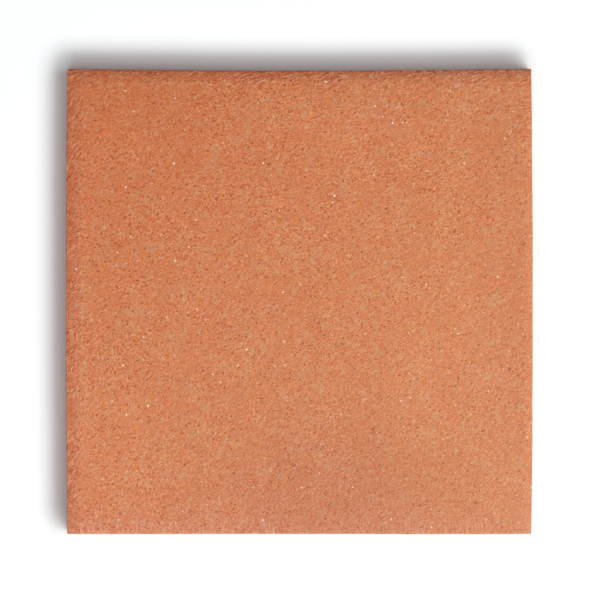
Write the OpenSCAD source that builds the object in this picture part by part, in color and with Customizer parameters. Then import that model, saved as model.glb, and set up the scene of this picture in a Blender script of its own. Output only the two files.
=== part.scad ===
// Terracotta paving tile: one slab of pressed and fired clay.
// The origin is at the centre of the underside. +Z points up out of the face,
// +Y points to the far side and +X to the right side.
// The sides leave the mould straight and bow a little in the kiln, each by its own amount.

/* [Slab] */
// Width over the widest part of the left and right sides
tile_width = 300; // [150:0.5:450]
// Length over the longest part of the near and far sides
tile_length = 299; // [150:0.5:450]
// Thickness from the underside to the flat of the face
tile_thickness = 20; // [12:0.5:40]

/* [Sides] */
// How far the middle of the near side stands out beyond its ends, less than 0 where it draws in
near_bow = 0; // [-3:0.1:3]
// How far the middle of the right side stands out beyond its ends
right_bow = 0.9; // [-3:0.1:3]
// How far the middle of the far side stands out beyond its ends
far_bow = -1.2; // [-3:0.1:3]
// How far the middle of the left side stands out beyond its ends
left_bow = 0.8; // [-3:0.1:3]

/* [Corners] */
// Plan radius of the corner between the near and left sides
near_left_radius = 1; // [0.3:0.1:10]
// Plan radius of the corner between the near and right sides
near_right_radius = 0.8; // [0.3:0.1:10]
// Plan radius of the corner between the far and right sides
far_right_radius = 0.7; // [0.3:0.1:10]
// Plan radius of the corner between the far and left sides
far_left_radius = 2; // [0.3:0.1:10]

/* [Face edge] */
// Width of the band along the near side over which the face rolls off towards its edge
near_roll_width = 9; // [2:0.5:20]
// How far the face drops over the band along the near side
near_roll_depth = 0.4; // [0.2:0.1:3]
// Width of the band along the right side
right_roll_width = 6; // [2:0.5:20]
// How far the face drops over the band along the right side
right_roll_depth = 0.8; // [0.2:0.1:3]
// Width of the band along the far side
far_roll_width = 8.5; // [2:0.5:20]
// How far the face drops over the band along the far side
far_roll_depth = 2.1; // [0.2:0.1:3]
// Width of the band along the left side
left_roll_width = 10.5; // [2:0.5:20]
// How far the face drops over the band along the left side
left_roll_depth = 1.6; // [0.2:0.1:3]
// Radius of the arris between those bands and the sides
arris_radius = 1.2; // [0.3:0.1:3]

/* [Smoothness] */
// Straight pieces in each bowed side
side_steps = 16; // [4:1:32]
// Straight pieces round each corner
corner_steps = 5; // [2:1:8]
// Straight pieces round the arris
arris_steps = 4; // [2:1:8]
// Straight pieces across the rolled band
roll_steps = 5; // [2:1:8]

/* [Hidden] */

// Colour of the fired clay
clay_colour = [0.82, 0.52, 0.365];

// Sides and corners run anticlockwise: side i leaves corner i, and corner 0 is near left.
side_bows = [near_bow, right_bow, far_bow, left_bow];
side_normals = [[0, -1], [1, 0], [0, 1], [-1, 0]];
corner_signs = [[-1, -1], [1, -1], [1, 1], [-1, 1]];
corner_radii = [near_left_radius, near_right_radius, far_right_radius, far_left_radius];

// A side that bows out starts that much further in, so that its middle is at the full size.
side_starts = [for (bow = side_bows) max(bow, 0)];

// Section through the rolled edge of each side. The arris turns from upright until it meets the
// slope at which the rolled band begins, and the band flattens out as a parabola.
roll_widths = [near_roll_width, right_roll_width, far_roll_width, left_roll_width];
roll_depths = [near_roll_depth, right_roll_depth, far_roll_depth, left_roll_depth];
arris_turns = [for (i = [0:3]) 90 - atan(2 * roll_depths[i] / roll_widths[i])];
roll_starts = [for (turn = arris_turns) arris_radius * (1 - cos(turn))];
side_heights = [for (i = [0:3]) tile_thickness - roll_depths[i] - arris_radius * sin(arris_turns[i])];
edge_levels = arris_steps + roll_steps;

// The straight part of the slab ends under the lowest arris.
slab_height = min(side_heights) - arris_radius;

// Inset and height of a level of the edge section of side i
function arris_level(i, turn) = [arris_radius * (1 - cos(turn)), side_heights[i] + arris_radius * sin(turn)];
function roll_level(i, share) =
    [roll_starts[i] + roll_widths[i] * share, tile_thickness - roll_depths[i] * (1 - share) ^ 2];
function edge_level(i, level) = level <= arris_steps
    ? arris_level(i, arris_turns[i] * level / arris_steps)
    : roll_level(i, (level - arris_steps) / roll_steps);

// Centre of the round at corner i, where the outline is drawn inwards by an inset for each side
function corner_centre(i, insets) =
    let (x_side = i == 0 || i == 3 ? 3 : 1, y_side = i < 2 ? 0 : 2)
    [
        corner_signs[i][0] * (tile_width / 2 - side_starts[x_side] - insets[x_side] - corner_radii[i]),
        corner_signs[i][1] * (tile_length / 2 - side_starts[y_side] - insets[y_side] - corner_radii[i])
    ];

// Point on the round of corner i, at an angle from +X
function corner_point(i, insets, angle) =
    corner_centre(i, insets) + corner_radii[i] * [cos(angle), sin(angle)];

// Points round corner i, from the end of one side to the start of the next
function corner_run(i, insets) = [for (step = [0:corner_steps])
    corner_point(i, insets, 180 + 90 * (i + step / corner_steps))];

// Points along side i, between its two corners
function side_run(i, insets) =
    let (
        next = (i + 1) % 4,
        start = corner_point(i, insets, 270 + 90 * i),
        end = corner_point(next, insets, 270 + 90 * i)
    )
    [for (step = [1:side_steps - 1])
        let (share = step / side_steps)
        start + (end - start) * share + side_normals[i] * side_bows[i] * 4 * share * (1 - share)];

// Plan outline of the tile, drawn inwards by an inset for each side
function outline(insets) = [for (i = [0:3]) each concat(corner_run(i, insets), side_run(i, insets))];

// Heights that go with the points of an outline: one for each side, which the corners join
function outline_heights(heights) = [for (i = [0:3])
    let (before = heights[(i + 3) % 4])
    each concat(
        [for (step = [0:corner_steps]) before + (heights[i] - before) * step / corner_steps],
        [for (step = [1:side_steps - 1]) heights[i]]
    )];

// Closed line round the tile, with an inset and a height for each side
function ring(insets, heights) =
    let (plan = outline(insets), rise = outline_heights(heights))
    [for (i = [0:len(plan) - 1]) [plan[i][0], plan[i][1], rise[i]]];

// The ring at one level of the edge sections
function edge_ring(level) =
    let (levels = [for (i = [0:3]) edge_level(i, level)])
    ring([for (l = levels) l[0]], [for (l = levels) l[1]]);

no_insets = [0, 0, 0, 0];

// Body of the slab, from the underside up to a little under the arris
module slab() {
    linear_extrude(slab_height) polygon(outline(no_insets));
}

// Top of the slab: a loft of rings up the edge sections, closed by fans under and over it
module face() {
    rings = concat(
        [ring(no_insets, [for (i = [0:3]) slab_height])],
        [for (level = [0:edge_levels]) edge_ring(level)]
    );
    count = len(rings[0]);
    top = (len(rings) - 1) * count;
    low_centre = len(rings) * count;
    high_centre = low_centre + 1;
    walls = [for (level = [0:len(rings) - 2], i = [0:count - 1])
        let (a = level * count + i, b = level * count + (i + 1) % count)
        each [[a, a + count, b + count], [a, b + count, b]]];
    under = [for (i = [0:count - 1]) [low_centre, i, (i + 1) % count]];
    over = [for (i = [0:count - 1]) [high_centre, top + (i + 1) % count, top + i]];
    polyhedron(
        points = concat([for (r = rings) each r], [[0, 0, slab_height], [0, 0, tile_thickness]]),
        faces = concat(walls, under, over),
        convexity = 4
    );
}

module tile() {
    color(clay_colour) union() {
        slab();
        face();
    }
}

tile();
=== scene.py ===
import math

import bpy
import numpy as np
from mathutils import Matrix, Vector, noise


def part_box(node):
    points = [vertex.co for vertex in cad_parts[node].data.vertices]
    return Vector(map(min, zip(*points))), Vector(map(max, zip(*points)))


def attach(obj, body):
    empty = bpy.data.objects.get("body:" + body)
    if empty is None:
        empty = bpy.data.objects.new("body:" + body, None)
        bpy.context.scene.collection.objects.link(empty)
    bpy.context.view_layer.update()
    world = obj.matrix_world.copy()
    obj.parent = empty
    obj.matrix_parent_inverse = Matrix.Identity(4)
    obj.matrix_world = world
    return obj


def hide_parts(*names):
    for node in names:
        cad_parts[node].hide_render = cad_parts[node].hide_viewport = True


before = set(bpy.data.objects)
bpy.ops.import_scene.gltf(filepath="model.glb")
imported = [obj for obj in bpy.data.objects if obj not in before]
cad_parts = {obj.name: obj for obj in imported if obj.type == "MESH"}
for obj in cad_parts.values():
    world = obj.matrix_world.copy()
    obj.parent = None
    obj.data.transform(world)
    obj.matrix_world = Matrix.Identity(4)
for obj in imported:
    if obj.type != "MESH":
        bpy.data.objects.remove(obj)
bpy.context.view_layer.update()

# The tile is one slab of pressed clay. This script gives it a dense skin in the outline and
# section of the CAD node, with the swell, drag marks and pits of its surface, and a sandy clay.
# Lengths are in millimetres until a mesh is written, and angles run from +X towards +Y.
METRES = 0.001
tile_low, tile_high = (np.array(corner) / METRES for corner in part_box("tile"))
width, length, thickness = tile_high - tile_low

# ------------------------------------------------------------------ the skin's grid
GRID_STEP = 1.12                # spacing of the grid over the flat of the face
EDGE_STEPS = (0.32, 1.1)        # spacing at the arris, and where the grid reaches its full step
EDGE_GROWTH = 1.16              # how fast the spacing opens up between them
UNDER_EVERY = 6                 # the underside takes one grid line in so many
UNDER_INSET = 6                 # from the foot of the sides to the underside's own grid
FOOT_ROUND = 0.45               # the small round at the foot of the sides
FOOT_STEPS = 3
WALL_ROWS = 11                  # rows of faces up the sides, above the foot's round
MITRE_POWER = 4                 # how softly the roll of one side runs into the next
CORNER_FADE = 9                 # how far in from a corner its round is felt
CORNER_ROOM = 8                 # the outline's points nearer than this to both sides are a corner's
NEARLY = 0.001                  # points closer than this are at the same place
CUT_PLACE = 1.0                 # the sections of the edges are cut this far beside their middles
CUT_TURN = 0.8                  # a section has a corner where it turns by more degrees than this
CUT_SAMPLES = 240               # points along the smooth line through those corners


def cad_mesh():
    """The places of the CAD node's vertices, in millimetres, and the two ends of each edge."""
    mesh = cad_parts["tile"].data
    points = np.array([vertex.co for vertex in mesh.vertices]) / METRES
    return points, np.array([edge.vertices[:] for edge in mesh.edges])


def side_curve(ring, axis, sign):
    """One side's bowed line, as a parabola through the CAD outline's points on that side.
    A straight side has no points between its corners."""
    along, across = ring[:, 1 - axis], ring[:, axis] * sign
    on_side = (abs(along) < along.max() - CORNER_ROOM) & (across > across.max() / 2)
    if not on_side.any():
        return np.poly1d([sign * across.max()])
    return np.poly1d(np.polyfit(along[on_side], sign * across[on_side], 2))


def cad_outline():
    """The corners of the CAD outline, in plan."""
    points, _ = cad_mesh()
    return np.unique(points[points[:, 2] < NEARLY, :2].round(3), axis=0)


def corner_radius(ring, sign_x, sign_y):
    """Plan radius of one corner of the CAD outline."""
    reach = abs(ring).max(axis=0) - CORNER_ROOM
    arc = ring[(ring[:, 0] * sign_x > reach[0]) & (ring[:, 1] * sign_y > reach[1])]
    return np.ptp(arc[:, 0])


def smooth_through(knots, values, first_slope, last_slope, at):
    """A cubic curve through the values, read at some places along the knots."""
    slopes = np.gradient(values, knots)
    slopes[0], slopes[-1] = first_slope, last_slope
    piece = np.clip(np.searchsorted(knots, at, side="right") - 1, 0, len(knots) - 2)
    span = knots[piece + 1] - knots[piece]
    share = (at - knots[piece]) / span
    rest = 1 - share
    return (
        (1 + 2 * share) * rest**2 * values[piece]
        + share * rest**2 * span * slopes[piece]
        + (1 + 2 * rest) * share**2 * values[piece + 1]
        - rest * share**2 * span * slopes[piece + 1]
    )


def turning(points):
    """How far a line turns at each of its points but the first and last, in degrees."""
    steps = np.diff(points, axis=0)
    angles = np.degrees(np.arctan2(steps[:, 1], steps[:, 0]))
    return abs((np.diff(angles) + 180) % 360 - 180)


def edge_section(axis, sign):
    """How far along its surface, how far in and how high the CAD node's edge runs on one side."""
    points, edges = cad_mesh()
    start, end = points[edges[:, 0]], points[edges[:, 1]]
    start_beside, end_beside = start[:, 1 - axis] - CUT_PLACE, end[:, 1 - axis] - CUT_PLACE
    cut = start_beside * end_beside < 0
    share = (start_beside / (start_beside - end_beside + ~cut))[cut, None]
    crossing = start[cut] + (end[cut] - start[cut]) * share
    across = sign * crossing[:, axis]
    section = np.stack([across.max() - across, crossing[:, 2]], axis=1)[across > 0]
    on_top = section[:, 1] > thickness - NEARLY
    on_edge = ~on_top & (section[:, 1] > NEARLY)
    foot, flat = (0, 0), (section[on_top, 0].min(), thickness)
    section = np.unique(np.vstack([foot, section[on_edge], flat]).round(3), axis=0)
    section = section[np.argsort(section.sum(axis=1))]
    corners = np.concatenate([[False], turning(section) > CUT_TURN, [True]])
    inset, height = section[corners].T
    walked = np.concatenate([[0], np.cumsum(np.hypot(np.diff(inset), np.diff(height)))])
    at = np.linspace(0, walked[-1], CUT_SAMPLES)
    inset = smooth_through(walked, inset, 0, 1, at)
    height = smooth_through(walked, height, 1, 0, at)
    return at, np.maximum.accumulate(inset), np.maximum.accumulate(height)


def edge_lines(section):
    """Insets of the grid's lines over one edge, close together at the arris."""
    walked, inset, _ = section
    places, step = [0.0], EDGE_STEPS[0]
    while step < EDGE_STEPS[1]:
        places.append(places[-1] + step)
        step *= EDGE_GROWTH
    past = np.maximum(np.array(places) - walked[-1], 0)
    return np.interp(places, walked, inset) + past


def grid_lines(span, first_section, last_section):
    """Places of the grid's lines across the tile, from one side to the other."""
    first, last = edge_lines(first_section), edge_lines(last_section)
    middle = span - first[-1] - last[-1]
    between = middle / GRID_STEP + len(first) + len(last)
    count = UNDER_EVERY * math.ceil(between / UNDER_EVERY) - len(first) - len(last) + 1
    inner = first[-1] + middle * np.arange(1, count + 1) / (count + 1)
    return np.concatenate([first, inner, span - last[::-1]])


def drop(from_low, from_high, low_section, high_section):
    """How far the face lies under its flat, by the distances from two opposite sides."""
    height = np.where(
        from_low < from_high,
        np.interp(from_low, *low_section[1:]),
        np.interp(from_high, *high_section[1:]),
    )
    return thickness - height


def face_grid():
    """The face as a grid of points, with no relief yet."""
    ring = cad_outline()
    sides = {(axis, sign): edge_section(axis, sign) for axis in (0, 1) for sign in (-1, 1)}
    columns = grid_lines(width, sides[0, -1], sides[0, 1])
    rows = grid_lines(length, sides[1, -1], sides[1, 1])
    column, row = np.meshgrid(columns, rows, indexing="ij")
    left, right = side_curve(ring, 0, -1), side_curve(ring, 0, 1)
    near, far = side_curve(ring, 1, -1), side_curve(ring, 1, 1)
    y = tile_low[1] + row
    x = left(y) + (right(y) - left(y)) * column / width
    y = near(x) + (far(x) - near(x)) * row / length
    from_x_side = np.minimum(column, width - column)
    from_y_side = np.minimum(row, length - row)
    ring_in = np.minimum(from_x_side, from_y_side)
    past_corner = abs(from_x_side - from_y_side)
    for sign_x in (-1, 1):
        for sign_y in (-1, 1):
            here = (sign_x * (column - width / 2) > 0) & (sign_y * (row - length / 2) > 0)
            radius = corner_radius(ring, sign_x, sign_y) * np.clip(1 - ring_in / CORNER_FADE, 0, 1)
            rounded = here & (past_corner < radius)
            turn = math.pi / 4 * (1 - past_corner[rounded] / radius[rounded])
            reach = radius[rounded] * (1 - np.cos(turn))
            slip = radius[rounded] * (1 - np.sin(turn)) - past_corner[rounded]
            nearer_x = from_x_side[rounded] < from_y_side[rounded]
            x[rounded] -= sign_x * np.where(nearer_x, reach, slip)
            y[rounded] -= sign_y * np.where(nearer_x, slip, reach)
    drop_x = drop(column, width - column, sides[0, -1], sides[0, 1])
    drop_y = drop(row, length - row, sides[1, -1], sides[1, 1])
    z = thickness - (drop_x**MITRE_POWER + drop_y**MITRE_POWER)**(1 / MITRE_POWER)
    return np.stack([x, y, z], axis=-1)


def rim(grid):
    """The points round a grid, anticlockwise from near left, each once."""
    return np.concatenate([grid[:-1, 0], grid[-1, :-1], grid[:0:-1, -1], grid[0, :0:-1]])


def inward(loop):
    """Unit vectors that point into an anticlockwise loop, in plan."""
    tangent = np.roll(loop, -1, axis=0) - np.roll(loop, 1, axis=0)
    normal = np.stack([-tangent[:, 1], tangent[:, 0], 0 * tangent[:, 0]], axis=1)
    return normal / np.linalg.norm(normal, axis=1, keepdims=True)


def wall_rings(top_ring):
    """Rings of points down the sides, from under the arris to the foot's round."""
    side_height = top_ring[:, 2].min()
    into = inward(top_ring)
    heights = np.linspace(side_height, FOOT_ROUND, WALL_ROWS + 1)[1:]
    turns = np.linspace(0, math.pi / 2, FOOT_STEPS + 1)[1:]
    levels = [(z, 0.0) for z in heights]
    levels += [(FOOT_ROUND * (1 - math.sin(t)), FOOT_ROUND * (1 - math.cos(t))) for t in turns]
    return [top_ring * (1, 1, 0) + (0, 0, z) + into * inset for z, inset in levels]


def under_grid(grid):
    """The underside's coarser grid, inside the foot of the sides."""
    shrink = 1 - 2 * UNDER_INSET / np.array([width, length, 1])
    return grid[::UNDER_EVERY, ::UNDER_EVERY] * (shrink[0], shrink[1], 0)


def grid_faces(numbers, flip=False):
    """Four-sided faces between the points of a grid of vertex numbers."""
    a, b = numbers[:-1, :-1].ravel(), numbers[1:, :-1].ravel()
    c, d = numbers[1:, 1:].ravel(), numbers[:-1, 1:].ravel()
    return np.stack([d, c, b, a] if flip else [a, b, c, d], axis=1).tolist()


def skin():
    """Points and faces of the whole skin, and the vertex numbers of its face, sides and underside."""
    face = face_grid()
    rings = wall_rings(rim(face))
    under = under_grid(face)
    count = len(rings[0])
    face_numbers = np.arange(face.shape[0] * face.shape[1]).reshape(face.shape[:2])
    wall_numbers = face_numbers.size + np.arange(count * len(rings)).reshape(len(rings), count)
    wall_numbers = np.vstack([rim(face_numbers), wall_numbers])
    under_numbers = wall_numbers.max() + 1 + np.arange(under.shape[0] * under.shape[1])
    under_numbers = under_numbers.reshape(under.shape[:2])
    points = np.vstack([face.reshape(-1, 3), *rings, under.reshape(-1, 3)])
    closed_walls = np.hstack([wall_numbers, wall_numbers[:, :1]])
    faces = grid_faces(face_numbers) + grid_faces(closed_walls)
    faces += grid_faces(under_numbers, flip=True)
    foot, inner = closed_walls[-1].tolist(), rim(under_numbers).tolist()
    for step, (here, after) in enumerate(zip(inner, inner[1:] + inner[:1])):
        stretch = foot[step * UNDER_EVERY:(step + 1) * UNDER_EVERY + 1]
        faces.append(stretch[::-1] + [here, after])
    return points, faces, (face_numbers, closed_walls, under_numbers)


# ------------------------------------------------------------------ relief, in millimetres
# A place in the noise keeps one kind of relief apart from another.
WAVES = (                       # height, wavelength, place in the noise and octaves
    (0.10, 75, 3.1, 1),         # slow waves over the whole slab
    (0.045, 15, 7.7, 2),        # shorter ones
    (0.045, 3.4, 1.3, 2),       # the coarsest of the sand
)
WALL_DRAG = (0.16, 16, 2.4, 5.9)  # lines along the sides: depth, length, width, place in the noise
OUTLINE_WANDER = (0.11, 30, 2.2)  # how far the sides wander in plan, over what length, place
WANDER_RISE = 0.3               # how fast that changes up a side, against along it
ARRIS_WEAR = (0.16, 5, 6.6)     # how deep the arris is worn, over what length, place
ARRIS_SLOPE = (0.5, 2.2)        # the normal's rise amid the arris, and how fast the wear fades from it
# How much the skin faces up, or stands upright, by the normal's rise: factor and start
FACING_UP = (2, -0.6)
UPRIGHT = (-2, 1)
PIT_SEED = 11
PIT_COUNT = 150
PIT_WIDTHS = (1.0, 2.0)
PIT_DEPTHS = (0.08, 0.30)
PIT_ROUNDNESS = 1.3             # how wide the hollow is against the pit's half width
PIT_END = 2                     # how far from its middle a pit is looked for, in pit widths
# Bands along the sides where the mould dragged the clay: the side's outward direction, the
# band's width, the angle of the marks, and their depth, length and width
DRAG_BANDS = (
    ((0, 1), 17, 27, 0.14, 8.0, 2.4),
    ((-1, 0), 13, 58, 0.12, 7.0, 2.4),
    ((0, -1), 9, 86, 0.07, 7.0, 2.2),
    ((1, 0), 7, 40, 0.05, 5.0, 2.2),
)
DRAG_PLACE = 9.4                # their place in the noise
DRAG_COVER = 0.25               # how much of a band the marks cover: more with a greater number


def noise_at(points, size, place, octaves=1):
    """Smooth noise from about -1 to 1 at each point, with features of that size.
    Each octave is half as large and half as strong as the one before."""
    scaled = points / size + place
    return np.array([noise.fractal(Vector(p), 1.0, 2.0, octaves) for p in scaled.tolist()])


def turned(points, angle, along, across):
    """Points turned in plan and stretched, so that noise on them runs along that angle."""
    cosine, sine = math.cos(math.radians(angle)), math.sin(math.radians(angle))
    u = points[:, 0] * cosine + points[:, 1] * sine
    v = points[:, 1] * cosine - points[:, 0] * sine
    return np.stack([u / along, v / across, points[:, 2] / across], axis=1)


def smooth_step(value):
    share = np.clip(value, 0, 1)
    return share * share * (3 - 2 * share)


def slope_share(rise, law):
    """How far a rise of the normal meets a law of a factor and a start, from 0 to 1."""
    return smooth_step(rise * law[0] + law[1])


def pits(points):
    """Depth of the larger pits and pulled-out grains of the face."""
    draw = np.random.default_rng(PIT_SEED)
    depth = np.zeros(len(points))
    spread = np.array([width, length]) / 2
    for _ in range(PIT_COUNT):
        centre = draw.uniform(-1, 1, 2) * spread
        size, deepest = draw.uniform(*PIT_WIDTHS), draw.uniform(*PIT_DEPTHS)
        near = np.flatnonzero(abs(points[:, :2] - centre).max(axis=1) < PIT_END * size)
        away = np.linalg.norm(points[near, :2] - centre, axis=1) / (size / 2)
        depth[near] = np.maximum(depth[near], deepest * np.exp(-(away / PIT_ROUNDNESS)**2))
    return depth


def relief(points, normals):
    """How far each point of the skin stands out from, or lies under, the plain form."""
    height = sum(tall * noise_at(points, size, place, octaves) for tall, size, place, octaves in WAVES)
    upward = slope_share(normals[:, 2], FACING_UP)
    upright = slope_share(abs(normals[:, 2]), UPRIGHT)
    depth, along, across, place = WALL_DRAG
    lines = points / (along, along, across)
    height -= depth * upright * abs(noise_at(lines, 1, place, 2))
    half = np.array([width, length]) / 2
    for side, band, angle, depth, along, across in DRAG_BANDS:
        from_side = half @ np.abs(side) - points[:, :2] @ np.array(side)
        held = smooth_step(1 - from_side / band) * upward
        marks = noise_at(turned(points, angle, along, across), 1, DRAG_PLACE)
        height -= depth * held * np.maximum(marks + DRAG_COVER, 0)
    return height - pits(points) * upward


def shaped(points, normals):
    """The skin's points with relief. The underside stays flat on the floor."""
    reach, size, place = OUTLINE_WANDER
    wander = reach * noise_at(points * (1, 1, WANDER_RISE), size, place, 2)
    deepest, size, place = ARRIS_WEAR
    wear = np.maximum(noise_at(points, size, place, 2), 0)
    off_arris = abs(normals[:, 2] - ARRIS_SLOPE[0])
    arris = smooth_step(1 - off_arris * ARRIS_SLOPE[1]) * (points[:, 2] > thickness / 2)
    stand = relief(points, normals) - deepest * arris * wear
    out = points + normals * stand[:, None]
    out += normals * (1, 1, 0) * wander[:, None]
    out[:, 2] = np.where(points[:, 2] <= 0, 0, np.maximum(out[:, 2], 0))
    return out


# ------------------------------------------------------------------ the tile's mesh
MAP_GAP = 0.006                 # between the islands of the UV map
MAP_FACE = 0.70                 # the share of the map's width that the face takes
MAP_WALL = 0.032                # the share of its height that each side takes


def map_places(points):
    """UV places of the face and, beside it, the underside, and how high they reach in the map.
    The four sides lie in strips above them."""
    floor_height = 1 - 4 * (MAP_WALL + MAP_GAP) - 2 * MAP_GAP
    share = (points[:, :2] - tile_low[:2]) / (width, length)
    face = MAP_GAP + share * (MAP_FACE - MAP_GAP, floor_height)
    under = share * (1 - MAP_FACE - 2 * MAP_GAP, floor_height) + (MAP_FACE + MAP_GAP, MAP_GAP)
    return face, under, floor_height


def write_map(mesh, points, groups):
    """Gives the mesh its UV map: most of it for the face, strips for the sides."""
    face, under, floor_height = map_places(points)
    layer = mesh.uv_layers.new(name="OFBake")
    corner_vertex = np.empty(len(mesh.loops), np.int32)
    mesh.loops.foreach_get("vertex_index", corner_vertex)
    first = np.empty(len(mesh.polygons), np.int32)
    total = np.empty(len(mesh.polygons), np.int32)
    mesh.polygons.foreach_get("loop_start", first)
    mesh.polygons.foreach_get("loop_total", total)
    of_face = np.repeat(np.arange(len(first)), total)
    centre = np.add.reduceat(points[corner_vertex], first) / total[:, None]
    face_count, wall_count = [(rows - 1) * (columns - 1) for rows, columns in map(np.shape, groups[:2])]
    uv = np.where((of_face < face_count)[:, None], face[corner_vertex], under[corner_vertex])
    on_wall = (of_face >= face_count) & (of_face < face_count + wall_count)
    # The side that a wall face belongs to: near, right, far or left
    turn = np.arctan2(centre[:, 1] / length, centre[:, 0] / width)
    side = np.floor((turn + math.pi * 3 / 4) / (math.pi / 2)).astype(int) % 4
    side = side[of_face][on_wall]
    p = points[corner_vertex[on_wall]]
    along = np.where(side % 2 == 0, p[:, 0] / width, p[:, 1] / length) + 0.5
    strip = floor_height + 2 * MAP_GAP + side * (MAP_WALL + MAP_GAP)
    uv[on_wall, 0] = MAP_GAP + along * (1 - 2 * MAP_GAP)
    uv[on_wall, 1] = strip + np.clip(p[:, 2] / thickness, 0, 1) * MAP_WALL
    layer.uv.foreach_set("vector", uv.astype(np.float32).ravel())


def make_tile():
    points, faces, groups = skin()
    mesh = bpy.data.meshes.new("terracotta_tile")
    mesh.from_pydata((points * METRES).tolist(), [], faces)
    normals = np.array([v.vector for v in mesh.vertex_normals])
    final = shaped(points, normals)
    mesh.vertices.foreach_set("co", (final * METRES).astype(np.float32).ravel())
    mesh.polygons.foreach_set("use_smooth", np.ones(len(mesh.polygons), bool))
    write_map(mesh, points, groups)
    mesh.update()
    tile = bpy.data.objects.new("terracotta_tile", mesh)
    bpy.context.scene.collection.objects.link(tile)
    return tile


# ------------------------------------------------------------------ materials
def colour(red, green, blue):
    """A colour written as on a screen, from 0 to 255, in the linear numbers that Blender takes."""
    shares = (c / 255 for c in (red, green, blue))
    return tuple(c / 12.92 if c <= 0.04045 else ((c + 0.055) / 1.055)**2.4 for c in shares) + (1,)


class Graph:
    """Adds nodes to one material and links them. Any value may be a number or a socket."""

    def __init__(self, name):
        self.material = bpy.data.materials.new(name)
        self.material.use_nodes = True
        self.nodes = self.material.node_tree.nodes
        self.nodes.clear()

    def add(self, kind, values, **settings):
        node = self.nodes.new("ShaderNode" + kind)
        for name, setting in settings.items():
            setattr(node, name, setting)
        for socket, value in values.items():
            if isinstance(value, bpy.types.NodeSocket):
                self.material.node_tree.links.new(value, node.inputs[socket])
            else:
                node.inputs[socket].default_value = value
        return node

    def math(self, operation, first, second, clamp=False):
        values = {0: first, 1: second}
        return self.add("Math", values, operation=operation, use_clamp=clamp).outputs[0]

    def noise(self, places, size, detail=0.0):
        """Smooth noise from 0 to 1, with features of that size."""
        values = {"Vector": places, "Scale": 1 / size, "Detail": detail}
        return self.add("TexNoise", values).outputs["Fac"]

    def cells(self, places, size):
        """Scattered cells of that size: how far each place is from its grain, and its random colour."""
        node = self.add("TexVoronoi", {"Vector": places, "Scale": 1 / size})
        return node.outputs["Distance"], node.outputs["Color"]

    def split(self, colour_socket):
        return self.add("SeparateColor", {"Color": colour_socket}).outputs

    def ranged(self, value, low, high, to_low=0.0, to_high=1.0, kind="SMOOTHSTEP"):
        values = {0: value, 1: low, 2: high, 3: to_low, 4: to_high}
        return self.add("MapRange", values, interpolation_type=kind).outputs[0]

    def mix(self, share, first, second, kind="MIX"):
        values = {"Factor": share, 6: first, 7: second}
        return self.add("Mix", values, data_type="RGBA", blend_type=kind).outputs[2]

    def ramp(self, value, stops):
        node = self.add("ValToRGB", {"Fac": value})
        line = node.color_ramp.elements
        while len(line) < len(stops):
            line.new(0.5)
        for element, (place, shade) in zip(line, stops):
            element.position, element.color = place, shade
        return node.outputs["Color"]

    def turned(self, places, angle, along, across):
        """Places turned in plan and stretched, so that a texture on them runs along that angle."""
        values = {"Vector": places, "Rotation": (0, 0, math.radians(-angle))}
        turn = self.add("Mapping", values, vector_type="POINT").outputs[0]
        stretch = {0: turn, 1: (1 / along, 1 / across, 1 / across)}
        return self.add("VectorMath", stretch, operation="MULTIPLY").outputs[0]

    def summed(self, terms):
        """The sum of weight x (value - middle) over the terms."""
        total = 0.0
        for value, middle, weight in terms:
            part = self.math("MULTIPLY", self.math("SUBTRACT", value, middle), weight)
            total = self.math("ADD", part, total)
        return total


# ------------------------------------------------------------------ the clay
MIDDLE = 0.5                        # of the noise nodes, which run from 0 to 1
NOISE_SPAN = (0.3, 0.7)             # what most of their noise lies between
# The clay's colours, from its reddest and darkest grain to its palest
CLAY_TONES = (
    (0.00, colour(149, 51, 16)),
    (0.25, colour(184, 90, 46)),
    (0.50, colour(209, 123, 79)),
    (0.70, colour(229, 153, 108)),
    (1.00, colour(248, 201, 161)),
)
# The grog's: tan, cream, white, pale green-grey and grey
GROG_TONES = (
    (0.00, colour(228, 184, 146)),
    (0.30, colour(244, 220, 190)),
    (0.55, colour(254, 242, 222)),
    (0.75, colour(196, 186, 150)),
    (0.92, colour(168, 164, 154)),
)
LIME = colour(207, 182, 151)        # pale paste round the softer grog
IRON_AND_PIT_SHADE = colour(166, 62, 0)           # iron-rich grains, and painted shade in the pits and hollows
CRUMB = colour(246, 188, 144)       # paler grains of the clay itself
TAN = colour(202, 150, 114)         # paler, greyer patches of the clay
ORANGE = colour(213, 119, 64)       # its purer patches
FLUSH_AND_SHADE = colour(190, 98, 58)         # the redder flush of the far left corner, with painted shade there, away from the lamps
DUST_AND_LIGHT = colour(232, 179, 147)        # pale dust of an unglazed face, with painted light: paler towards the near right, where the lamps stand
# Tints that the clay's colour is multiplied by
PINKISH = (1.00, 0.95, 1.01, 1)     # the two ends of a small wander of its hue
OCHRE = (1.00, 1.05, 0.99, 1)
SLOPE_SHADE_RED = (1.00, 0.88, 0.97, 1)        # painted shade: redder where the far and left slopes turn from the lamps and lack sheen
CHALKY = (0.99, 1.07, 1.32, 1)      # cooler and paler, along the near side
FAR_SHADE = (0.94, 0.965, 0.95, 1)      # painted shade: darker over a broad band along the far side, away from the lamps
ROSY = (1.00, 1.00, 1.065, 1)       # cooler, along the left side and by the near left corner
ARRIS_LIGHT = (1.38, 1.42, 1.38, 1)        # painted light: paler on the left side's arris, which faces away from the lamps
SMUDGE = (0.905, 0.865, 0.90, 1)    # darker and redder, by the middle of the near side
GOLDEN = (1.00, 1.00, 0.935, 1)     # yellower, over the middle and the right of the face
PALER = (1.045, 1.055, 1.05, 1)
DEEPER = (0.955, 0.95, 0.95, 1)
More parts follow.
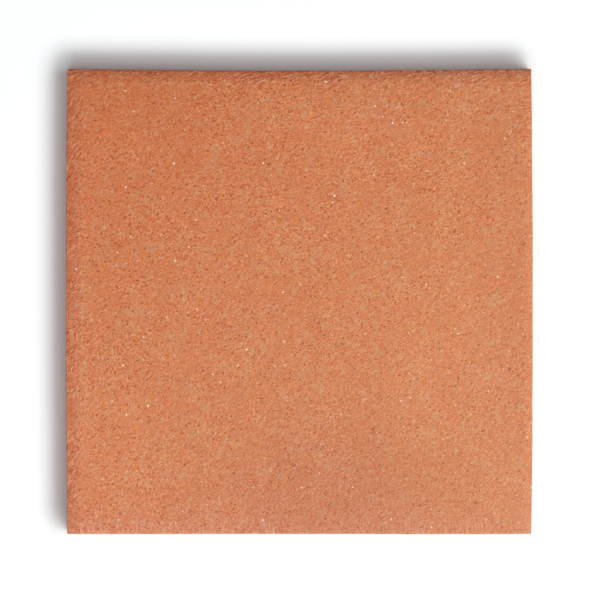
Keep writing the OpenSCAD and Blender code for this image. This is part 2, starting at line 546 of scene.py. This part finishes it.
# The patches of the face that a tint goes over: middle, and how far it fades out along X and Y
PATCHES = (
    (SMUDGE, (24, -122, 0), (108, 70)),
    (GOLDEN, (66, 12, 0), (135, 150)),
    (GOLDEN, (88, -98, 0), (62, 55)),
    (GOLDEN, (108, 80, 0), (60, 70)),
    (ROSY, (-90, -140, 0), (120, 55)),
    (PALER, (90, -31, 0), (55, 95)),
    (PALER, (-128, -115, 0), (60, 85)),
    (DEEPER, (143, 107, 0), (50, 60)),
)
PATCH_FADE = (1.0, 0.15)            # the shares of that reach where a tint starts and is full
SLOPE_SHADE_FALL = 4.0                     # how fast that painted shade fades away from its sides
CORNER_SHADE_REACH = (200.0, 0.28)          # how far from its corner the flush and painted shade reach, and their strength there
LIGHT_AND_DUST_RISE = (0.105, (0.00042, -0.00045, 0))  # the share of dust and painted light at the centre, and its rise per mm towards the near right
ARRIS_LIGHT_WIDTH = 1.9                    # how far in from the left side its arris has painted light
ARRIS_LIGHT_HEIGHTS = (15.0, 17.0)         # the heights between which that painted light starts, up that side

# The bands inside the sides: name, axis and sign of the side, and the band's width
EDGE_BANDS = (
    ("far", "Y", 1, 20),
    ("left", "X", -1, 16),
    ("near", "Y", -1, 15),
    ("right", "X", 1, 8),
    ("far_broad", "Y", 1, 45),
    ("left_broad", "X", -1, 42),
)
BAND_RAG = (9, 14.0)                # how ragged their inner edges are: wavelength and reach
# The drag marks in them: band, angle, length, width and strength
EDGE_MARKS = (
    ("far", 22, 6.0, 1.5, 1.85),
    ("left", 62, 5.0, 1.5, 1.6),
    ("near", 97, 7.0, 1.1, 1.45),
    ("right", 95, 3.0, 1.5, 0.2),
)
MARK_PATCHES = (17, 0.3, 1.5)       # how they come and go: wavelength, least and greatest strength
MARK_TONE = 0.60                    # how far they darken the clay
# Light and dark of the sandy clay: kind of noise, its size and its strength
MOTTLE = (
    ("plain", 0.85, 0.33),
    ("plain", 1.1, 0.40),
    ("streaks", 1.0, 0.24),
    ("plain", 1.4, 0.11),
    ("streaks", 1.5, 0.20),
    ("plain", 1.8, 0.09),
    ("plain", 6.5, 0.02),
    ("plain", 13, 0.045),
)
MOTTLE_BANDS = (85, 60, 16, 0.06)   # and of broad bands in it: angle, length, width and strength
STREAK_ANGLES = (24, 62)            # how its streaks run, by the far and by the near side
STREAK_TURN = (-100, 90)            # the places along Y between which they turn
STREAK_LENGTH = 2.4                 # against their width
SANDINESS = (26, 0.78, 1.22)        # how the mottle comes and goes: wavelength, least and greatest
COMBED = 0.3                        # how much less of it there is along the near side
# How the clay leans to its paler, greyer patches or to its purer ones: sizes and strengths
CAST = ((1.6, 0.36), (2.4, 0.88), (3.2, 0.90), (4.6, 0.80), (6.5, 0.36), (10, 0.66), (19, 0.48))
LEAN_PALE, LEAN_PURE = 0.72, -0.56  # how far it leans each way
HUE_SIZE = 3.8                      # wavelength of the wander of its hue
LOOSEN = (1.6, 0.9)                 # how the grains leave even lines: wavelength and reach
# Grains scattered one to a cell: the cell's size, the share of cells with a grain, its least and
# greatest radius, and which of the cell's random numbers chooses them
GRAINS = {
    "pit": (2.15, 0.66, (0.28, 0.74), "Green"),
    "crumb": (2.7, 0.30, (0.34, 0.70), "Red"),
    "hollow": (11.0, 0.30, (0.7, 1.3), "Red"),
    "paste": (4.6, 0.50, (0.9, 2.2), "Green"),
    "grog": (5.2, 0.13, (0.38, 0.88), "Green"),
    "fleck": (2.9, 0.075, (0.30, 0.56), "Green"),
}
GRAIN_RIM = (1.15, 0.6)             # the shares of its radius where a grain starts and is full
PIT_DRAG = (42, 1.25, 0.85)         # the pits are drawn out: angle, and stretch along and across
PIT_STRENGTH = (0.50, 0.92)         # least and greatest
PASTE_STRENGTH = (3.0, 0.52)        # how rare the strong paste is, and the strongest
CRUMB_STRENGTH = 0.36
HOLLOW_STRENGTH = 0.40
GROG_STRENGTH = 0.90
FLECK_STRENGTH = 0.72
BUMP_HEIGHT = 0.44                  # how tall the finest relief is, for the bump
# Its noise: size, detail and strength
BUMP_NOISE = ((0.9, 0.0, 0.55), (1.6, 1.0, 0.5))
BUMP_STREAKS = (40, 2.6, 1.0, 1.3, 1.0, 0.3)  # angle, length, width, size, detail and strength
# and how far the marks and grains stand out from it
BUMP_MARKS = -0.8
BUMP_PIT = -0.18
BUMP_HOLLOW = -0.8
BUMP_GROG = 0.2
CLAY_ROUGHNESS = 0.92
CLAY_SPECULAR = 0.2


def streaks(g, places, size, far_share):
    """Stretched noise that runs along one angle by the far side and along another by the near."""
    far, near = (g.noise(g.turned(places, angle, STREAK_LENGTH, 1.0), size) for angle in STREAK_ANGLES)
    more = g.math("MULTIPLY", g.math("SUBTRACT", far, near), far_share)
    return g.math("ADD", near, more)


def mottle(g, places):
    """Light and dark of the sandy clay, about 0."""
    far_share = g.ranged(g.add("SeparateXYZ", {0: places}).outputs["Y"], *STREAK_TURN)
    terms = []
    for kind, size, strength in MOTTLE:
        value = g.noise(places, size) if kind == "plain" else streaks(g, places, size, far_share)
        terms.append((value, MIDDLE, strength))
    angle, along, across, strength = MOTTLE_BANDS
    terms.append((g.noise(g.turned(places, angle, along, across), 1.0), MIDDLE, strength))
    return g.summed(terms)


def spots(g, places, size, share, radius, channel):
    """Grains scattered one to a cell in some of the cells: how strongly each place is in one,
    and the grain's random kind."""
    distance, cell_colour = g.cells(places, size)
    channels = g.split(cell_colour)
    chosen = g.math("LESS_THAN", channels[channel], share)
    reach = g.ranged(channels["Blue"], 0, 1, radius[0] / size, radius[1] / size, "LINEAR")
    inside = g.ranged(g.math("DIVIDE", distance, reach), *GRAIN_RIM)
    return g.math("MULTIPLY", inside, chosen), channels["Red"]


def edge_zones(g, places, position):
    """How much each place belongs to the band inside each side."""
    wavelength, reach = BAND_RAG
    wobble = g.noise(places, wavelength, 1.0)
    ragged = g.math("MULTIPLY", g.math("SUBTRACT", wobble, MIDDLE), reach)
    zones = {}
    for name, axis, sign, band in EDGE_BANDS:
        half = float((width, length)["XY".index(axis)]) / 2
        from_side = g.math("SUBTRACT", half, g.math("MULTIPLY", position[axis], sign))
        zones[name] = g.ranged(g.math("ADD", from_side, ragged), band, 0.0)
    return zones


def come_and_go(g, places, wavelength, least, greatest, kind="SMOOTHSTEP"):
    """A slow noise between two strengths."""
    return g.ranged(g.noise(places, wavelength, 1.0), *NOISE_SPAN, least, greatest, kind)


def drag_marks(g, places, loose, zones):
    """The marks in the bands along the sides, about 0."""
    marks = 0.0
    for name, angle, along, across, strength in EDGE_MARKS:
        lines = g.noise(g.turned(loose, angle, along, across), 1.0, 2.0)
        cut = g.math("MULTIPLY", g.math("SUBTRACT", lines, MIDDLE), strength)
        marks = g.math("ADD", g.math("MULTIPLY", cut, zones[name]), marks)
    return g.math("MULTIPLY", marks, come_and_go(g, places, *MARK_PATCHES))


def lit_left_arris(g, position):
    """How much each place belongs to the left side's arris, where light is painted."""
    side = 0.0
    for coefficient in side_curve(cad_outline(), 0, -1).coefficients:
        side = g.math("ADD", g.math("MULTIPLY", position["Y"], side), float(coefficient))
    inset = g.math("SUBTRACT", position["X"], side)
    high = g.ranged(position["Z"], *ARRIS_LIGHT_HEIGHTS)
    return g.math("MULTIPLY", g.ranged(inset, ARRIS_LIGHT_WIDTH, 0.0), high)


def bare_clay(g, loose, tone):
    """The clay's own colour by its tone, with a slow wander of colour and hue."""
    clay = g.ramp(tone, CLAY_TONES)
    lean = g.summed([(g.noise(loose, size), MIDDLE, strength) for size, strength in CAST])
    clay = g.mix(g.math("MULTIPLY", lean, LEAN_PALE, clamp=True), clay, TAN)
    clay = g.mix(g.math("MULTIPLY", lean, LEAN_PURE, clamp=True), clay, ORANGE)
    hue = g.mix(g.ranged(g.noise(loose, HUE_SIZE), *NOISE_SPAN), PINKISH, OCHRE)
    return g.mix(1.0, clay, hue, "MULTIPLY")


def with_grains(g, clay, grains):
    """The clay's colour with its paste, crumbs, pits, hollows and grog, with painted shade in the pits
    and hollows.
    """
    paste, paste_kind = grains["paste"]
    grog, grog_kind = grains["grog"]
    fleck, fleck_kind = grains["fleck"]
    rarity, strongest = PASTE_STRENGTH
    paleness = g.math("MULTIPLY", g.math("POWER", paste_kind, rarity), strongest)
    clay = g.mix(g.math("MULTIPLY", paste, paleness), clay, LIME)
    clay = g.mix(g.math("MULTIPLY", grains["crumb"][0], CRUMB_STRENGTH), clay, CRUMB)
    # Iron-red grains and painted shade in the pits and hollows
    clay = g.mix(grains["pit"][0], clay, IRON_AND_PIT_SHADE)
    clay = g.mix(g.math("MULTIPLY", grains["hollow"][0], HOLLOW_STRENGTH), clay, IRON_AND_PIT_SHADE)
    clay = g.mix(g.math("MULTIPLY", grog, GROG_STRENGTH), clay, g.ramp(grog_kind, GROG_TONES))
    return g.mix(g.math("MULTIPLY", fleck, FLECK_STRENGTH), clay, g.ramp(fleck_kind, GROG_TONES))


def with_tints(g, clay, places, position, zones):
    """The clay's colour with the tints of its bands and patches, some of them painted shade and light,
    with its flush and painted shade by the far left corner, and its dust and painted light towards the
    near right.
    """
    # Painted shade: redder on the far and left slopes, turned from the lamps
    away_slopes = g.math("MAXIMUM", zones["far"], zones["left"])
    clay = g.mix(g.math("POWER", away_slopes, SLOPE_SHADE_FALL), clay, SLOPE_SHADE_RED, "MULTIPLY")
    clay = g.mix(zones["near"], clay, CHALKY, "MULTIPLY")
    # Painted shade over a broad band along the far side
    clay = g.mix(zones["far_broad"], clay, FAR_SHADE, "MULTIPLY")
    clay = g.mix(zones["left_broad"], clay, ROSY, "MULTIPLY")
    # Painted light on the left side's arris, which faces away from the lamps
    clay = g.mix(lit_left_arris(g, position), clay, ARRIS_LIGHT, "MULTIPLY")
    for tint, middle, reach in PATCHES:
        beside = g.add("VectorMath", {0: places, 1: middle}, operation="SUBTRACT").outputs[0]
        shares = {0: beside, 1: (1 / reach[0], 1 / reach[1], 0)}
        beside = g.add("VectorMath", shares, operation="MULTIPLY").outputs[0]
        beside = g.add("VectorMath", {0: beside}, operation="LENGTH").outputs["Value"]
        clay = g.mix(g.ranged(beside, *PATCH_FADE), clay, tint, "MULTIPLY")
    # A redder flush and painted shade by the far left corner, away from the lamps
    far_left = (float(tile_low[0]), float(tile_high[1]), 0.0)
    away = g.add("VectorMath", {0: places, 1: far_left}, operation="DISTANCE").outputs["Value"]
    clay = g.mix(g.ranged(away, 0.0, *CORNER_SHADE_REACH, 0.0), clay, FLUSH_AND_SHADE)
    # Pale dust and painted light, rising towards the near right, where the lamps stand
    rise = g.add("VectorMath", {0: places, 1: LIGHT_AND_DUST_RISE[1]}, operation="DOT_PRODUCT").outputs["Value"]
    return g.mix(g.math("ADD", rise, LIGHT_AND_DUST_RISE[0], clamp=True), clay, DUST_AND_LIGHT)


def fine_relief(g, loose, marks, grains):
    """Height of the finest relief, for the bump."""
    terms = [(g.noise(loose, size, detail), MIDDLE, strength) for size, detail, strength in BUMP_NOISE]
    angle, along, across, size, detail, strength = BUMP_STREAKS
    terms.append((g.noise(g.turned(loose, angle, along, across), size, detail), MIDDLE, strength))
    terms.append((marks, 0.0, BUMP_MARKS))
    terms.append((grains["pit"][0], 0.0, BUMP_PIT))
    terms.append((grains["hollow"][0], 0.0, BUMP_HOLLOW))
    terms.append((grains["grog"][0], 0.0, BUMP_GROG))
    return g.summed(terms)


def loosened(g, places):
    """Places moved about a little, so that grains leave even lines."""
    wavelength, reach = LOOSEN
    values = {"Vector": places, "Scale": 1 / wavelength, "Detail": 1.0}
    wobble = g.add("TexNoise", values).outputs["Color"]
    shift = g.add("VectorMath", {0: wobble, 1: (MIDDLE,) * 3}, operation="SUBTRACT").outputs[0]
    shift = g.add("VectorMath", {0: shift, "Scale": reach}, operation="SCALE").outputs[0]
    return g.add("VectorMath", {0: places, 1: shift}, operation="ADD").outputs[0]


def clay_material():
    g = Graph("terracotta")
    object_places = g.add("TexCoord", {}).outputs["Object"]
    places = g.add("VectorMath", {0: object_places, "Scale": 1 / METRES}, operation="SCALE").outputs[0]
    position = g.add("SeparateXYZ", {0: places}).outputs
    loose = loosened(g, places)
    zones = edge_zones(g, places, position)
    marks = drag_marks(g, places, loose, zones)

    sandiness = come_and_go(g, places, *SANDINESS, "LINEAR")
    sandiness = g.math("SUBTRACT", sandiness, g.math("MULTIPLY", zones["near"], COMBED))
    tone = g.math("ADD", g.math("MULTIPLY", mottle(g, loose), sandiness), MIDDLE)
    tone = g.math("SUBTRACT", tone, g.math("MULTIPLY", marks, MARK_TONE))

    dragged = g.turned(loose, *PIT_DRAG)
    grains = {
        name: spots(g, dragged if name == "pit" else loose, *values) for name, values in GRAINS.items()
    }
    pit, pit_kind = grains["pit"]
    strength = g.ranged(pit_kind, 0.0, 1.0, *PIT_STRENGTH, "LINEAR")
    grains["pit"] = (g.math("MULTIPLY", pit, strength), pit_kind)

    clay = with_grains(g, bare_clay(g, loose, tone), grains)
    clay = with_tints(g, clay, places, position, zones)
    height = fine_relief(g, loose, marks, grains)
    bump = g.add("Bump", {"Strength": 1.0, "Distance": BUMP_HEIGHT * METRES, "Height": height})
    shader = g.add("BsdfPrincipled", {
        "Base Color": clay, "Roughness": CLAY_ROUGHNESS, "Specular IOR Level": CLAY_SPECULAR,
        "Normal": bump.outputs[0],
    })
    g.add("OutputMaterial", {"Surface": shader.outputs[0]})
    return g.material


# ------------------------------------------------------------------ the stage
FLOOR_PALE = 0.75               # the floor's colour for the light it returns
# Its colour as seen: a little over white, so that all of it in the light is white, and cooler,
# because the clay's sides warm the shadow beside them
FLOOR_WHITE = (1.02, 1.045, 1.055)
FLOOR_SIZE = 24000
# Soft lamps: direction from the tile and elevation in degrees, size, distance and share of light.
# The shares of the lamps and the sky add up to 1.
LAMPS = {
    "near_left_softbox": (-99, 50.8, 4000, 9000, 0.143),
    "near_softbox": (-65, 44.8, 3590, 9000, 0.259),
    "corner_softbox": (-38, 43.6, 3820, 9000, 0.234),
    "right_softbox": (-6, 53.6, 4420, 9000, 0.219),
    "left_fill": (-175, 45.0, 4000, 9000, 0.035),
}
SKY = 0.110                     # the share of light that comes from all round
VIEW_SPAN = 385.2               # how much of the face's plane the picture's width holds
VIEW_HEIGHT = 3000              # from the face to the camera
VIEW_SHIFT = (0.39, 0.92)       # the camera's place beside the tile's centre
VIEW_END = 10                   # how far the camera sees, in metres


def floor_material():
    """A white floor for the camera and for gloss, and a pale one for the light that it returns."""
    g = Graph("studio_floor")
    pale = g.add("BsdfDiffuse", {"Color": (FLOOR_PALE,) * 3 + (1,)})
    white = g.add("BsdfDiffuse", {"Color": FLOOR_WHITE + (1,)})
    path = g.add("LightPath", {}).outputs
    seen = g.math("MAXIMUM", path["Is Camera Ray"], path["Is Glossy Ray"])
    seen = g.math("MAXIMUM", seen, path["Is Transmission Ray"])
    shader = g.add("MixShader", {0: seen, 1: pale.outputs[0], 2: white.outputs[0]})
    g.add("OutputMaterial", {"Surface": shader.outputs[0]})
    return g.material


def make_floor():
    half = FLOOR_SIZE / 2 * METRES
    mesh = bpy.data.meshes.new("floor")
    corners = [(-half, -half, 0), (half, -half, 0), (half, half, 0), (-half, half, 0)]
    mesh.from_pydata(corners, [], [(0, 1, 2, 3)])
    floor = bpy.data.objects.new("floor", mesh)
    floor.data.materials.append(floor_material())
    bpy.context.scene.collection.objects.link(floor)
    return floor


def make_lamp(name, azimuth, elevation, size, distance, share):
    """An area lamp that gives the face that share of the light at which a colour shows as written."""
    a, e = math.radians(azimuth), math.radians(elevation)
    direction = Vector((math.cos(a) * math.cos(e), math.sin(a) * math.cos(e), math.sin(e)))
    data = bpy.data.lights.new(name, "AREA")
    data.shape = "SQUARE"
    data.size = size * METRES
    spread = (1 + (size / distance)**2 / 6)**2
    data.energy = share * spread * math.pi**2 * (distance * METRES)**2 / math.sin(e)
    lamp = bpy.data.objects.new(name, data)
    lamp.location = direction * distance * METRES
    lamp.rotation_euler = direction.to_track_quat("Z", "Y").to_euler()
    bpy.context.scene.collection.objects.link(lamp)


def make_sky():
    world = bpy.data.worlds.new("studio")
    world.use_nodes = True
    background = world.node_tree.nodes["Background"]
    background.inputs["Color"].default_value = (1, 1, 1, 1)
    background.inputs["Strength"].default_value = SKY
    bpy.context.scene.world = world


def make_camera():
    data = bpy.data.cameras.new("camera")
    data.lens = data.sensor_width * VIEW_HEIGHT / VIEW_SPAN
    data.clip_end = VIEW_END
    camera = bpy.data.objects.new("camera", data)
    centre = (tile_low + tile_high) / 2
    place = Vector((centre[0] + VIEW_SHIFT[0], centre[1] + VIEW_SHIFT[1], tile_high[2] + VIEW_HEIGHT))
    camera.location = place * METRES
    bpy.context.scene.collection.objects.link(camera)
    bpy.context.scene.camera = camera


make_camera()
make_sky()
for lamp_name, lamp in LAMPS.items():
    make_lamp(lamp_name, *lamp)
make_floor()

tile = make_tile()
tile.data.materials.append(clay_material())
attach(tile, "root")
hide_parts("tile")

bpy.context.scene.view_settings.view_transform = "Standard"
